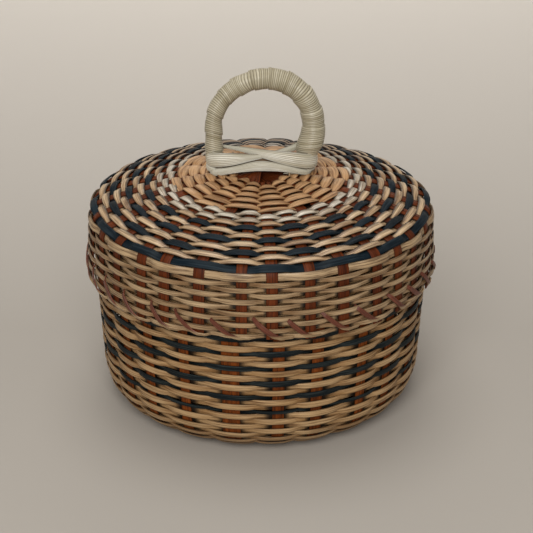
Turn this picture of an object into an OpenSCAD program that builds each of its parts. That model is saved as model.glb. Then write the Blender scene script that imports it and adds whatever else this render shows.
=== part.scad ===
// Round basket of flat splints with a drop-over lid and an upright bound ring handle.
// The splints cross at the middle of floor and lid and turn down or up into the walls;
// thin weavers pass over and under them row by row, and every row swaps sides with the next.
// Millimetres, basket standing on z = 0, front of the basket at -Y.

/* [Basket] */

// Radius of the wall splints at the basket's mouth
mouth_r = 68.5; // [58:0.5:80]
// Height of the basket's lashed rim
basket_h = 86.5; // [76:0.5:98]
// How much larger the wall's radius is at its widest
belly = 1.2; // [0.2:0.1:1.6]
// How much smaller the wall's radius is at the foot than at its widest
foot_inset = 2.5; // [1:0.25:5]
// Radius of the rounded edge between floor and wall
foot_edge_r = 15; // [11:0.5:18]
// Rise of the floor towards its middle
floor_kick = 3; // [2:0.25:5]
// Height at which the wall is widest
lean_top_z = 56; // [44:1:64]
// Wall splints of the basket, two for each splint across the floor
base_stakes = 24; // [20:4:28]

/* [Lid] */

// How far the lid's wall reaches down over the basket
lid_cover = 27.8; // [20:0.2:34]
// Radius of the curve of the lid's top
dome_r = 215; // [170:5:320]
// Radius of the lid's shoulder
shoulder_r = 5; // [4.5:0.25:7]
// Wall splints of the lid, two for each splint across the top
lid_stakes = 32; // [24:4:36]

/* [Splints and weavers] */

// Width of a splint on the wall
stake_w = 4.8; // [3.5:0.1:6]
// Thickness of a splint on the wall
stake_t = 0.6; // [0.4:0.05:0.9]
// Width of a splint where all of them cross
hub_w = 1.2; // [0.9:0.05:1.4]
// Thickness of a splint where all of them cross
hub_t = 0.22; // [0.18:0.02:0.3]
// Thickness of a weaver
weaver_t = 0.9; // [0.6:0.05:1.2]

/* [Rims] */

// Radius of the round that the two rim hoops make together
hoop_r = 2; // [1.8:0.1:2.6]
// Width of the rim's lashing strip
lash_w = 2.4; // [1.6:0.1:3.2]
// Thickness of the rim's lashing strip
lash_t = 0.5; // [0.4:0.05:0.7]
// Width of a border strap on the lid's rim
strap_w = 2.2; // [1.6:0.1:2.6]
// Thickness of a border strap
strap_t = 0.5; // [0.4:0.05:0.7]
// How far the border straps bow out of the wall
strap_bow = 1; // [0.4:0.1:2]
// Height of a border strap on the lid's wall
strap_h = 9.6; // [7:0.2:12]

/* [Handle] */

// Width of the ring across its outer sides
handle_w = 50; // [42:0.5:60]
// Height of the ring above the lid's crossing splints
handle_h = 44; // [38:0.2:54]
// Place of the ring beside the lid's middle
handle_x = 1.5; // [-3:0.5:3]
// Radius of the ring's round core
core_r = 3.1; // [2.6:0.1:4]
// Radius of the ring's two lower bends
core_bend_r = 5; // [4.6:0.2:7]
// Thickness of the strip wound on the ring
wrap_t = 0.7; // [0.5:0.05:1]
// Turns of the strip wound on the ring
wrap_turns = 23; // [16:1:24]
// Height of a strap of the crossed binding
binding_h = 3.4; // [2.6:0.1:4]
// Thickness of a strap of the crossed binding
binding_t = 0.6; // [0.4:0.05:0.8]
// Radius of a tie strand through the lid
tie_r = 0.4; // [0.3:0.05:0.45]

/* [Clearances] */

// Play between a weaver and the splints it passes
weave_clear = 0.15; // [0.1:0.01:0.25]
// Gap between one row and the next
row_gap = 0.25; // [0.15:0.05:0.4]
// Gap from the lid's inside to the basket's rim, all round
lid_gap = 0.7; // [0.5:0.05:1.2]
// Gap under the lid where it sits on the basket's rim
seat_gap = 0.3; // [0.2:0.05:0.5]
// Gap between a wound or bound strip and what it holds
bind_gap = 0.12; // [0.1:0.01:0.25]
// Gap between two turns on the ring
turn_gap = 0.56; // [0.55:0.01:0.8]
// Gap between crossing splints at the hub
hub_gap = 0.05; // [0.04:0.01:0.08]

/* [Hidden] */

// How far a weaver swings out of and into the wall, and the wall's half thickness
swing = (stake_t + weaver_t) / 2 + weave_clear;
wall_half = swing + weaver_t / 2;

// Rim of the basket: two half hoops and a strip wound round both
turn_sides = 6;
rim_lash_r = hoop_r / cos(180 / turn_sides) + bind_gap + lash_t / 2;
rim_out = rim_lash_r + lash_t / 2;
rim_z = basket_h - rim_out;

// Profile of the basket, down the middle of its splints
belly_r = mouth_r + belly;
foot_r = belly_r - foot_inset;
foot_rows = 5;
foot_pitch = foot_edge_r * PI / 2 / foot_rows;
foot_sag = (foot_edge_r + wall_half) * (1 - cos(foot_pitch / 2 / foot_edge_r * 180 / PI));
floor_z = wall_half + foot_sag;
floor_edge_r = foot_r - foot_edge_r;
kick_share = 0.78;
kick_r = kick_share * floor_edge_r;
kick_curve_r = (kick_r * kick_r + floor_kick * floor_kick) / (2 * floor_kick);
kick_angle = asin(kick_r / kick_curve_r);
base_s1 = kick_curve_r * kick_angle * PI / 180;
base_s2 = base_s1 + floor_edge_r - kick_r;
base_s3 = base_s2 + foot_edge_r * PI / 2;
wall_z = floor_z + foot_edge_r;
wall_top = rim_z - rim_out - bind_gap;

// Profile of the lid, down the middle of its splints
basket_out = max(rim_out, belly + wall_half + row_gap);
lid_wall_r = mouth_r + basket_out + lid_gap + wall_half;
lid_edge_r = lid_wall_r - shoulder_r;
dome_edge_r = lid_edge_r / (1 - shoulder_r / dome_r);
dome_angle = asin(dome_edge_r / dome_r);
lid_s1 = dome_r * dome_angle * PI / 180;
lid_s2 = lid_s1 + shoulder_r * (90 - dome_angle) * PI / 180;
side_drop = 0.5;
shoulder_row = (lid_s2 - lid_s1 + side_drop) / 2;
shoulder_sag = (shoulder_r + wall_half) * (1 - cos(shoulder_row / 2 / shoulder_r * 180 / PI));
shoulder_z = basket_h + seat_gap + wall_half + shoulder_sag - shoulder_r;
crown_z = shoulder_z + shoulder_r * cos(dome_angle) + dome_r * (1 - cos(dome_angle));
lid_rim_z = basket_h - lid_cover;

// Crossing splints at the hubs, each in its own layer
hub_pitch = hub_t + hub_gap;
hub_margin = 1;
base_hub_r = hub_w / (2 * sin(180 / base_stakes)) + hub_margin;
lid_hub_r = hub_w / (2 * sin(180 / lid_stakes)) + hub_margin;
base_layers = base_stakes / 2;
lid_layers = lid_stakes / 2;
hub_ramp = 4;

// First place of a weaver, and where a splint reaches its full width
lid_hub_room = 3.5;
base_hub_room = 1.5;
lid_weave_r = lid_hub_r + hub_ramp + lid_hub_room;
base_weave_r = base_hub_r + hub_ramp + base_hub_room;
full_w_r = 40;

// Turning of the splints about the axis, from the front towards +X
lid_step = 360 / lid_stakes;
base_step = 360 / base_stakes;
lid_phase = 3.9;
base_phase = 5.8;

// Rows of weavers, counted along the profile
lid_hub_rows = 5;
lid_cream_rows = 3;
lid_top_rows = 10;
lid_side_rows = 10;
hub_share = 0.5217;
cream_share = 0.6255;
lid_hub_end = hub_share * lid_s1;
lid_cream_end = cream_share * lid_s1;
lid_hub_pitch = (lid_hub_end - lid_weave_r) / lid_hub_rows;
lid_cream_pitch = (lid_cream_end - lid_hub_end) / lid_cream_rows;
lid_top_pitch = (lid_s1 - lid_cream_end) / lid_top_rows;
lid_side_top = shoulder_z - side_drop;
lid_side_pitch = (lid_side_top - lid_rim_z) / lid_side_rows;
floor_hub_rows = 3;
floor_rows = 4;
wall_rows = 28;
floor_hub_share = 0.531;
floor_hub_end = floor_hub_share * base_s2;
floor_hub_pitch = (floor_hub_end - base_weave_r) / floor_hub_rows;
floor_pitch = (base_s2 - floor_hub_end) / floor_rows;
wall_pitch = (wall_top - wall_z) / wall_rows;
lean = foot_inset / (lean_top_z - wall_z);
neck_lean = belly / (wall_top - lean_top_z);
lean_swing = max(lean, neck_lean) * wall_pitch / 2;

// Ring handle, bound to the lid over its crossing splints
hub_top = crown_z + lid_layers * hub_pitch / 2;
bar_z = hub_top + bind_gap + core_r;
wrap_in = core_r / cos(180 / turn_sides) + bind_gap;
wrap_out = wrap_in + wrap_t;
arch_r = handle_w / 2 - wrap_out;
arch_z = hub_top + handle_h - wrap_out - arch_r;
tie_y = (core_r + tie_r + bind_gap) / cos(22.5);
binding_in = tie_y + tie_r + bind_gap;
binding_in_2 = binding_in + binding_t + bind_gap;
band_drop = 0.1;
band_h = core_r - band_drop;
binding_rise = binding_h / 2;
binding_tilt = atan(binding_rise / arch_r);
binding_room = 0.35;
binding_z = bar_z + bind_gap + binding_h / 2 + binding_rise + binding_room;
wrap_room = 0.6;
wrap_z = binding_z + binding_rise + binding_h / 2 + wrap_room;
wrap_leg = arch_z - wrap_z;
wrap_length = 2 * wrap_leg + PI * arch_r;
wrap_pitch = wrap_length / (wrap_turns + 1);
wrap_w = wrap_pitch - turn_gap;
tie_room = 0.9;
tie_place_r = lid_weave_r - tie_r - tie_room;
lid_tie_z = crown_z - tie_place_r * tie_place_r / 2 / dome_r;

// Colours
rust = [0.52, 0.24, 0.13];
tan_light = [0.78, 0.62, 0.41];
cream = [0.92, 0.88, 0.78];
blue_black = [0.13, 0.15, 0.2];
straw = [0.85, 0.76, 0.55];

// Every node of the part

$fn = 96;

// Point at radius r and height z, turned by a from the front towards +X
function around(r, a, z) = [r * sin(a), -r * cos(a), z];

// Profile of the basket by length from the floor's middle: radius, height, outward normal
function base_at(s) =
    s < base_s1 ?
        let (a = s / kick_curve_r * 180 / PI)
        [kick_curve_r * sin(a), floor_z + floor_kick - kick_curve_r * (1 - cos(a)), -sin(a), -cos(a)] :
    s < base_s2 ?
        [kick_r + s - base_s1, floor_z, 0, -1] :
    s < base_s3 ?
        let (a = (s - base_s2) / foot_edge_r * 180 / PI)
        [floor_edge_r + foot_edge_r * sin(a), floor_z + foot_edge_r * (1 - cos(a)), sin(a), -cos(a)] :
        let (z = wall_z + s - base_s3)
        [wall_r(z), z, 1, 0];

// Radius of the basket's wall at a height
function wall_r(z) =
    z < lean_top_z ? belly_r - lean * (lean_top_z - max(z, wall_z)) :
    belly_r - neck_lean * (min(z, wall_top) - lean_top_z);

// Profile of the lid by length from the top's middle: radius, height, outward normal
function lid_at(s) =
    s < lid_s1 ?
        let (a = s / dome_r * 180 / PI)
        [dome_r * sin(a), crown_z - dome_r * (1 - cos(a)), sin(a), cos(a)] :
    s < lid_s2 ?
        let (a = dome_angle + (s - lid_s1) / shoulder_r * 180 / PI)
        [lid_edge_r + shoulder_r * sin(a), shoulder_z + shoulder_r * cos(a), sin(a), cos(a)] :
        [lid_wall_r, shoulder_z - s + lid_s2, 1, 0];

// Width of a splint at a radius, narrow where the splints cross
function splint_w(r, near) =
    r <= near ? hub_w :
    min(stake_w, hub_w + (stake_w - hub_w) * (r - near) / (full_w_r - near));

// Angle from a splint's middle to where the weaver leaves it
function hold_angle(r, near) = atan((splint_w(r, near) / 2 + weave_clear) / r);

// Faces of a closed ring of n sections with four corners each
function ring_faces(n) = [
    for (i = [0 : n - 1])
        for (c = [0 : 3])
            let (j = (i + 1) % n, d = (c + 1) % 4)
            each [[4 * i + c, 4 * i + d, 4 * j + d], [4 * i + c, 4 * j + d, 4 * j + c]]
];

// Faces of an open strip of n sections with k corners each, closed at both ends
function strip_faces(n, k) = concat(
    [[for (c = [k - 1 : -1 : 0]) c]],
    [[for (c = [0 : k - 1]) (n - 1) * k + c]],
    [
        for (i = [0 : n - 2])
            for (c = [0 : k - 1])
                let (d = (c + 1) % k)
                each [[i * k + c, i * k + d, i * k + k + d], [i * k + c, i * k + k + d, i * k + k + c]]
    ]
);

// One row between two profile places, over every other one of n groups of splints
module woven_ring(from, to, reach, n, half, phase, parity) {
    points = [
        for (g = [0 : n - 1])
            for (e = [-1, 1])
                let (
                    a = phase + g * 360 / n + e * half,
                    side = (g + parity) % 2 == 0 ? reach : -reach,
                    low = side - weaver_t / 2,
                    high = side + weaver_t / 2
                )
                each [
                    around(from[0] + low * from[2], a, from[1] + low * from[3]),
                    around(to[0] + low * to[2], a, to[1] + low * to[3]),
                    around(to[0] + high * to[2], a, to[1] + high * to[3]),
                    around(from[0] + high * from[2], a, from[1] + high * from[3])
                ]
    ];
    polyhedron(points, ring_faces(2 * n), convexity = 10);
}

// One upright row of the wall, as high as its pitch leaves
module wall_ring(r, z, h, reach, n, half, phase, parity) {
    function loop(offset) = [
        for (g = [0 : n - 1])
            for (e = [-1, 1])
                let (
                    a = phase + g * 360 / n + e * half,
                    q = r + offset + ((g + parity) % 2 == 0 ? reach : -reach)
                )
                [q * sin(a), -q * cos(a)]
    ];
    translate([0, 0, z - h / 2])
        linear_extrude(height = h)
            polygon(
                concat(loop(weaver_t / 2), loop(-weaver_t / 2)),
                [[for (i = [0 : 2 * n - 1]) i], [for (i = [4 * n - 1 : -1 : 2 * n]) i]]
            );
}

// Row i of the lid's hub, woven over two splints at a time
module lid_hub_row(i) {
    s = lid_weave_r + (i + 0.5) * lid_hub_pitch;
    w = (lid_hub_pitch - row_gap) / 2;
    half = lid_step / 2 + hold_angle(lid_at(s + w)[0], lid_weave_r);
    woven_ring(lid_at(s - w), lid_at(s + w), swing, lid_stakes / 2, half, lid_phase + lid_step / 2, i);
}

// One row of the lid's top between two lengths
module lid_row(s, pitch, parity, reach = swing) {
    w = (pitch - row_gap) / 2;
    half = hold_angle(lid_at(s - w)[0], lid_weave_r);
    woven_ring(lid_at(s - w), lid_at(s + w), reach, lid_stakes, half, lid_phase, parity);
}

// Cream row i and top row i of the lid, from the hub outwards
module lid_cream_row(i) {
    lid_row(lid_hub_end + (i + 0.5) * lid_cream_pitch, lid_cream_pitch, i + 1);
}
module lid_top_row(i) {
    lid_row(lid_cream_end + (i + 0.5) * lid_top_pitch, lid_top_pitch, i);
}

// Row i of the lid's wall, from the shoulder down
module lid_side_row(i) {
    half = hold_angle(lid_wall_r, lid_weave_r);
    z = lid_side_top - (i + 0.5) * lid_side_pitch;
    wall_ring(lid_wall_r, z, lid_side_pitch - row_gap, swing, lid_stakes, half, lid_phase, i);
}

// Row i of the basket's wall, from the foot up
module base_wall_row(i, part = 1) {
    half = hold_angle(wall_r(wall_z), base_weave_r);
    z = wall_z + (i + 0.5) * wall_pitch;
    h = (wall_pitch - row_gap) * part;
    wall_ring(wall_r(z), z, h, swing + lean_swing, base_stakes, half, base_phase, i);
}

// Splints across the floor or the top: profile of one, given its lengths and its layer
function hub_part(r, hub) = max(0, min(1, (hub + hub_ramp - r) / hub_ramp));
function splint_side(pts, hub, layer, side) = [
    for (p = pts)
        let (
            k = hub_part(p[0], hub),
            t = side * (k * hub_t + (1 - k) * stake_t) / 2
        )
        [p[0] + t * p[2], p[1] + t * p[3] + k * layer]
];
function mirrored(pts) = [for (i = [len(pts) - 1 : -1 : 0]) [-pts[i][0], pts[i][1]]];
function reversed(pts) = [for (i = [len(pts) - 1 : -1 : 0]) pts[i]];

cut_room = 10;
module splint(pts, hub, near, layer, a, top) {
    outer = splint_side(pts, hub, layer, 1);
    inner = splint_side(pts, hub, layer, -1);
    reach = lid_wall_r + cut_room;
    half = [hub_w / 2, stake_w / 2];
    rotate([0, 0, a - 90])
        intersection() {
            rotate([90, 0, 0])
                linear_extrude(height = stake_w + 1, center = true)
                    polygon(concat(mirrored(outer), outer, reversed(inner), reversed(mirrored(inner))));
            translate([0, 0, -cut_room])
                linear_extrude(height = top + 2 * cut_room)
                    polygon([
                        [-reach, -half[1]], [-full_w_r, -half[1]], [-near, -half[0]],
                        [near, -half[0]], [full_w_r, -half[1]], [reach, -half[1]],
                        [reach, half[1]], [full_w_r, half[1]], [near, half[0]],
                        [-near, half[0]], [-full_w_r, half[1]], [-reach, half[1]]
                    ]);
        }
}

end_share = 0.7;
lid_end = 0.7;
module base_splints() {
    wall_end = base_s3 + rim_z + end_share * hoop_r - wall_z;
    lengths = concat(
        [2, base_hub_r, base_hub_r + hub_ramp],
        [for (i = [1 : 3]) base_hub_r + hub_ramp + i * (base_s1 - base_hub_r - hub_ramp) / 3],
        [for (i = [0 : 7]) base_s2 + i * (base_s3 - base_s2) / 7],
        [base_s3 + lean_top_z - wall_z, base_s3 + wall_top - wall_z, wall_end]
    );
    pts = [for (s = lengths) base_at(s)];
    color(rust)
        for (k = [0 : base_layers - 1])
            splint(pts, base_hub_r, base_weave_r, (k - (base_layers - 1) / 2) * hub_pitch,
                base_phase + k * base_step, basket_h);
}

module lid_splints() {
    wall_end = lid_s2 + shoulder_z - lid_rim_z + lid_end;
    lengths = concat(
        [2, lid_hub_r, lid_hub_r + hub_ramp],
        [for (i = [1 : 6]) lid_hub_r + hub_ramp + i * (lid_s1 - lid_hub_r - hub_ramp) / 6],
        [for (i = [1 : 6]) lid_s1 + i * (lid_s2 - lid_s1) / 6],
        [wall_end]
    );
    pts = [for (s = lengths) lid_at(s)];
    color(rust)
        for (k = [0 : lid_layers - 1])
            splint(pts, lid_hub_r, lid_weave_r, (k - (lid_layers - 1) / 2) * hub_pitch,
                lid_phase + k * lid_step, crown_z);
}

// Floor of the basket
module base_floor_hub_weavers() {
    color(tan_light)
        for (i = [0 : floor_hub_rows - 1]) {
            s = base_weave_r + (i + 0.5) * floor_hub_pitch;
            w = (floor_hub_pitch - row_gap) / 2;
            half = base_step / 2 + hold_angle(base_at(s + w)[0], base_weave_r);
            woven_ring(base_at(s + w), base_at(s - w), swing, base_stakes / 2, half,
                base_phase + base_step / 2, i);
        }
}

module base_floor_weavers() {
    color(tan_light)
        for (i = [0 : floor_rows - 1]) {
            s = floor_hub_end + (i + 0.5) * floor_pitch;
            w = (floor_pitch - row_gap) / 2;
            half = hold_angle(base_at(s - w)[0], base_weave_r);
            woven_ring(base_at(s + w), base_at(s - w), swing, base_stakes, half, base_phase,
                i + floor_rows + foot_rows);
        }
}

// Rounded foot and the first two upright rows
module base_foot_weavers() {
    color(tan_light) {
        for (i = [0 : foot_rows - 1]) {
            s = base_s2 + (i + 0.5) * foot_pitch;
            w = (foot_pitch - row_gap) / 2;
            half = hold_angle(base_at(s - w)[0], base_weave_r);
            woven_ring(base_at(s + w), base_at(s - w), swing + foot_sag, base_stakes, half, base_phase,
                i + foot_rows);
        }
        for (i = [0, 1])
            base_wall_row(i);
    }
}

// Wall of the basket: one dark row to two tan ones
module base_blue_weaver(i) {
    color(blue_black)
        base_wall_row(3 * i - 1, i == 1 ? 0.6 : 1);
}
module base_tan_weavers(i) {
    color(tan_light)
        for (k = [0, 1])
            base_wall_row(3 * i + k);
}
module base_neck_weavers() {
    color(tan_light)
        for (i = [18 : wall_rows - 1])
            base_wall_row(i);
}

// Rim of the basket: half hoops inside and outside the splint ends
module base_rim_hoop(side) {
    face = stake_t / 2 + bind_gap;
    color(straw)
        rotate_extrude()
            translate([mouth_r, rim_z])
                intersection() {
                    circle(r = hoop_r, $fn = 48);
                    translate([side > 0 ? face : -face - 2 * hoop_r, -2 * hoop_r])
                        square([2 * hoop_r, 4 * hoop_r]);
                }
}
module base_rim_inner_hoop() {
    base_rim_hoop(-1);
}
module base_rim_outer_hoop() {
    base_rim_hoop(1);
}

// Strip wound round both hoops, one turn between each two splints
module base_rim_lashing() {
    n = turn_sides * base_stakes;
    half = lash_w / 2 / mouth_r * 180 / PI;
    points = [
        for (i = [0 : n - 1])
            let (
                a = base_phase + base_step / 2 + i * base_step / turn_sides,
                b = i * 360 / turn_sides,
                low = rim_lash_r - lash_t / 2,
                high = rim_lash_r + lash_t / 2
            )
            each [
                around(mouth_r + low * sin(b), a - half, rim_z - low * cos(b)),
                around(mouth_r + high * sin(b), a - half, rim_z - high * cos(b)),
                around(mouth_r + high * sin(b), a + half, rim_z - high * cos(b)),
                around(mouth_r + low * sin(b), a + half, rim_z - low * cos(b))
            ]
    ];
    color(straw)
        polyhedron(points, ring_faces(n), convexity = 10);
}

// Top of the lid
module lid_hub_weavers() {
    color(tan_light)
        for (i = [0 : lid_hub_rows - 1])
            lid_hub_row(i);
}
module lid_cream_weaver(i) {
    color(cream)
        lid_cream_row(i - 1);
}
module lid_blue_weaver(i) {
    color(blue_black)
        lid_top_row(3 * i - 2);
}
module lid_tan_weavers(i) {
    color(tan_light)
        for (k = i == 1 ? [0] : [3 * i - 4, 3 * i - 3])
            lid_top_row(k);
}
module lid_shoulder_blue_weaver() {
    color(blue_black)
        lid_row(lid_s1 + shoulder_row / 2, shoulder_row, 0, swing + shoulder_sag);
}
module lid_shoulder_tan_weaver() {
    color(tan_light)
        lid_row(lid_s1 + 1.5 * shoulder_row, shoulder_row, 1, swing + shoulder_sag);
}

// Wall of the lid
module lid_side_weavers() {
    color(tan_light)
        for (i = [0 : 5])
            lid_side_row(i);
}
module lid_rim_weavers() {
    color(tan_light)
        for (i = [6 : lid_side_rows - 1])
            lid_side_row(i);
}

// Slanting straps over the lid's last rows, turned in under its edge
strap_start = 0.37;
strap_turn = 0.36;
module lid_rim_straps() {
    clear = weaver_t / 2 + strap_t / 2 + bind_gap;
    leave = hold_angle(lid_wall_r, lid_weave_r);
    under = lid_rim_z + row_gap / 2 - strap_t / 2 - bind_gap;
    // how far out the weave reaches under the strap's two edges
    half = strap_w / 2 / lid_wall_r * 180 / PI;
    function crossing(a) = abs(1 - 2 * (a - leave) / (lid_step - 2 * leave));
    function weave_out(a) = swing * min(1, max(crossing(a - half), crossing(a + half)));
    // share of the strap's turning and height, bow and lean of its face, from the top down
    steps = [0, 0.25, 0.58, 0.86, 1];
    heights = [1, 0.75, 0.42, 0, 0];
    bow = [0, 0.7, 1.1, 0.5, 0];
    faces_lean = [0, 0, 5, 60, 90];
    path = [
        for (i = [0 : 4])
            let (
                a = lid_step * (strap_start + strap_turn * steps[i]),
                z = lid_rim_z + strap_h * heights[i] - (i == 3 ? strap_t : 0)
            )
            i < 4 ? [a, z, weave_out(a) + clear + strap_bow * bow[i]] : [a, under, 0]
    ];
    points = [
        for (i = [0 : 4])
            let (
                p = path[i],
                b = faces_lean[i],
                r = lid_wall_r + p[2],
                out = [sin(p[0]) * cos(b), -cos(p[0]) * cos(b), -sin(b)],
                side = [cos(p[0]), sin(p[0]), 0],
                c = around(r, p[0], p[1]),
                tilt = i < 3 ? 0.35 : i == 3 ? 0.15 : 0,
                across = side * cos(asin(tilt)) + [0, 0, tilt]
            )
            each [
                c - across * strap_w / 2 - out * strap_t / 2,
                c + across * strap_w / 2 - out * strap_t / 2,
                c + across * strap_w / 2 + out * strap_t / 2,
                c - across * strap_w / 2 + out * strap_t / 2
            ]
    ];
    color(rust)
        for (k = [0 : lid_stakes - 1])
            rotate([0, 0, lid_phase + k * lid_step])
                polyhedron(points, strip_faces(5, 4), convexity = 6);
}

// Round core of the ring, closed by a bar on the lid
module handle_core() {
    module arc(r, angle) {
        rotate_extrude(angle = angle)
            translate([r, 0])
                circle(r = core_r, $fn = 48);
    }
    bend_x = arch_r - core_bend_r;
    bend_z = bar_z + core_bend_r;
    module upper_part() {
        translate([0, 0, arch_z])
            rotate([90, 0, 0])
                arc(arch_r, 180);
        for (s = [-1, 1])
            translate([s * arch_r, 0, bend_z])
                cylinder(r = core_r, h = arch_z - bend_z, $fn = 48);
    }
    module lower_part() {
        translate([bend_x, 0, bend_z])
            rotate([90, 90, 0])
                arc(core_bend_r, 90);
        translate([-bend_x, 0, bend_z])
            rotate([90, 180, 0])
                arc(core_bend_r, 90);
        translate([-bend_x, 0, bar_z])
            rotate([0, 90, 0])
                cylinder(r = core_r, h = 2 * bend_x, $fn = 48);
    }
    color(straw)
        translate([handle_x, 0, 0]) {
            upper_part();
            lower_part();
        }
}

// Place along the ring above the binding, from the left leg over the top to the right leg
function arch_at(u) =
    u < wrap_leg ? [-arch_r, wrap_z + u, -1, 0] :
    u < wrap_leg + PI * arch_r ?
        let (a = (u - wrap_leg) / arch_r * 180 / PI)
        [-arch_r * cos(a), arch_z + arch_r * sin(a), -cos(a), sin(a)] :
        [arch_r, arch_z - (u - wrap_leg - PI * arch_r), 1, 0];
function wrap_point(u, q, b) =
    let (p = arch_at(u))
    [handle_x + p[0] + q * cos(b) * p[2], q * sin(b), p[1] + q * cos(b) * p[3]];
function wrap_ring(i) =
    let (u = wrap_w / 2 + i * wrap_pitch / turn_sides, b = 360 / turn_sides * i + 180)
    [
        wrap_point(u - wrap_w / 2, wrap_in, b),
        wrap_point(u - wrap_w / 2, wrap_out, b),
        wrap_point(u + wrap_w / 2, wrap_out, b),
        wrap_point(u + wrap_w / 2, wrap_in, b)
    ];
wrap_rings = turn_sides * wrap_turns + 1;

// Least gap between neighbouring turns, measured on the points of the winding
wrap_gap = min([
    for (i = [0 : wrap_rings - turn_sides - 1])
        let (next = wrap_ring(i + turn_sides), this = wrap_ring(i))
        min(norm(next[0] - this[3]), norm(next[1] - this[2]))
]);
echo(str("least gap of the handle's winding to itself: ", wrap_gap, " mm"));

module handle_wrap() {
    points = [for (i = [0 : wrap_rings - 1]) each wrap_ring(i)];
    color(straw)
        polyhedron(points, strip_faces(wrap_rings, 4), convexity = 10);
}

// Loop round both feet of the ring
module foot_loop(inner, h) {
    module outline(r) {
        union() {
            for (s = [-1, 1])
                translate([s * arch_r, 0])
                    circle(r = r, $fn = 64);
            square([2 * arch_r, 2 * r], center = true);
        }
    }
    linear_extrude(height = h, center = true)
        difference() {
            outline(inner + binding_t);
            outline(inner);
        }
}
module handle_binding_band() {
    color(straw)
        translate([handle_x, 0, bar_z - band_h / 2])
            foot_loop(binding_in, band_h);
}
module handle_binding_rising_strap() {
    color(straw)
        translate([handle_x, 0, binding_z])
            rotate([0, -binding_tilt, 0])
                foot_loop(binding_in, binding_h);
}
module handle_binding_falling_strap() {
    color(straw)
        translate([handle_x, 0, binding_z])
            rotate([0, binding_tilt, 0])
                foot_loop(binding_in_2, binding_h);
}

// Strand over the bar and through the lid between two splints on either side
tie_drop = 2.2;
tie_lift = 1;
function unit(v) = v / norm(v);
module tie(front, back) {
    f = around(tie_place_r, lid_phase + (front + 0.5) * lid_step, 0);
    b = around(tie_place_r, lid_phase + (back + 0.5) * lid_step, 0);
    m = (f + b) / 2;
    d = tie_y * cos(45);
    low = lid_tie_z - tie_drop;
    over = lid_tie_z + tie_lift;
    path = [
        [f[0], f[1], low], [f[0], f[1], over],
        [f[0], -tie_y, bar_z - core_r], [f[0], -tie_y, bar_z],
        [m[0], -d, bar_z + d], [m[0], 0, bar_z + tie_y], [m[0], d, bar_z + d],
        [b[0], tie_y, bar_z], [b[0], tie_y, bar_z - core_r],
        [b[0], b[1], over], [b[0], b[1], low],
        [m[0], b[1] / 2, low - tie_lift], [m[0], f[1] / 2, low - tie_lift]
    ];
    n = len(path);
    points = [
        for (i = [0 : n - 1])
            let (
                along = unit(path[(i + 1) % n] - path[(i + n - 1) % n]),
                out = unit(cross(along, [1, 0, 0])),
                side = cross(out, along)
            )
            for (c = [0 : 3])
                path[i] + tie_r * (cos(90 * c) * out + sin(90 * c) * side)
    ];
    color(straw)
        polyhedron(points, ring_faces(n), convexity = 6);
}
tie_front = 66;
tie_back = 114;
tie_turn = round(tie_front / lid_step - 0.5);
tie_turn_back = round(tie_back / lid_step - 0.5);
module handle_tie_left() {
    tie(-tie_turn - 2, -tie_turn_back - 2);
}
module handle_tie_right() {
    tie(tie_turn, tie_turn_back - 1);
}

base_splints();
base_floor_hub_weavers();
base_floor_weavers();
base_foot_weavers();
base_blue_weaver(1);  // base_blue_weaver_1
base_blue_weaver(2);  // base_blue_weaver_2
base_blue_weaver(3);  // base_blue_weaver_3
base_blue_weaver(4);  // base_blue_weaver_4
base_blue_weaver(5);  // base_blue_weaver_5
base_blue_weaver(6);  // base_blue_weaver_6
base_tan_weavers(1);  // base_tan_weavers_1
base_tan_weavers(2);  // base_tan_weavers_2
base_tan_weavers(3);  // base_tan_weavers_3
base_tan_weavers(4);  // base_tan_weavers_4
base_tan_weavers(5);  // base_tan_weavers_5
base_neck_weavers();
base_rim_inner_hoop();
base_rim_outer_hoop();
base_rim_lashing();
lid_splints();
lid_hub_weavers();
lid_cream_weaver(1);  // lid_cream_weaver_1
lid_cream_weaver(2);  // lid_cream_weaver_2
lid_cream_weaver(3);  // lid_cream_weaver_3
lid_blue_weaver(1);  // lid_blue_weaver_1
lid_blue_weaver(2);  // lid_blue_weaver_2
lid_blue_weaver(3);  // lid_blue_weaver_3
lid_tan_weavers(1);  // lid_tan_weavers_1
lid_tan_weavers(2);  // lid_tan_weavers_2
lid_tan_weavers(3);  // lid_tan_weavers_3
lid_tan_weavers(4);  // lid_tan_weavers_4
lid_shoulder_blue_weaver();
lid_shoulder_tan_weaver();
lid_side_weavers();
lid_rim_weavers();
lid_rim_straps();
handle_core();
handle_wrap();
handle_binding_band();
handle_binding_rising_strap();
handle_binding_falling_strap();
handle_tie_left();
handle_tie_right();
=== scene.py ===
import math

import bpy
import numpy as np
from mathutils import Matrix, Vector


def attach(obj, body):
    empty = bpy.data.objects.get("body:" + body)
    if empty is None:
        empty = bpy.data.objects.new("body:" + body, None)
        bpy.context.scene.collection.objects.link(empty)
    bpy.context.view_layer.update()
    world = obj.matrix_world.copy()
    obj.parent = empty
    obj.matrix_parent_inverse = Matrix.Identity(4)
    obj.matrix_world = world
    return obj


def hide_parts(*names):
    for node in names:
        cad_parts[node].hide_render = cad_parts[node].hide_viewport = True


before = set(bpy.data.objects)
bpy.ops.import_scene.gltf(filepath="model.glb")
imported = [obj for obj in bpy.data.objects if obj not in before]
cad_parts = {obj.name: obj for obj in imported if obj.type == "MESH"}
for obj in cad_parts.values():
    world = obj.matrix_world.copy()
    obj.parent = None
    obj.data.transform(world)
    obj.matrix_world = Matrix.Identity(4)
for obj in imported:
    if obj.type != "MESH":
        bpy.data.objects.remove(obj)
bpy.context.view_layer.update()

MM = 0.001
RIGHT = [1.0, 0.0, 0.0]
FRONT = [0.0, -1.0, 0.0]
UP = [0.0, 0.0, 1.0]
sharp_angle = math.radians(48)
rng = np.random.default_rng(27)

# Clearance under what is bound on
bind_gap = 0.12

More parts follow.
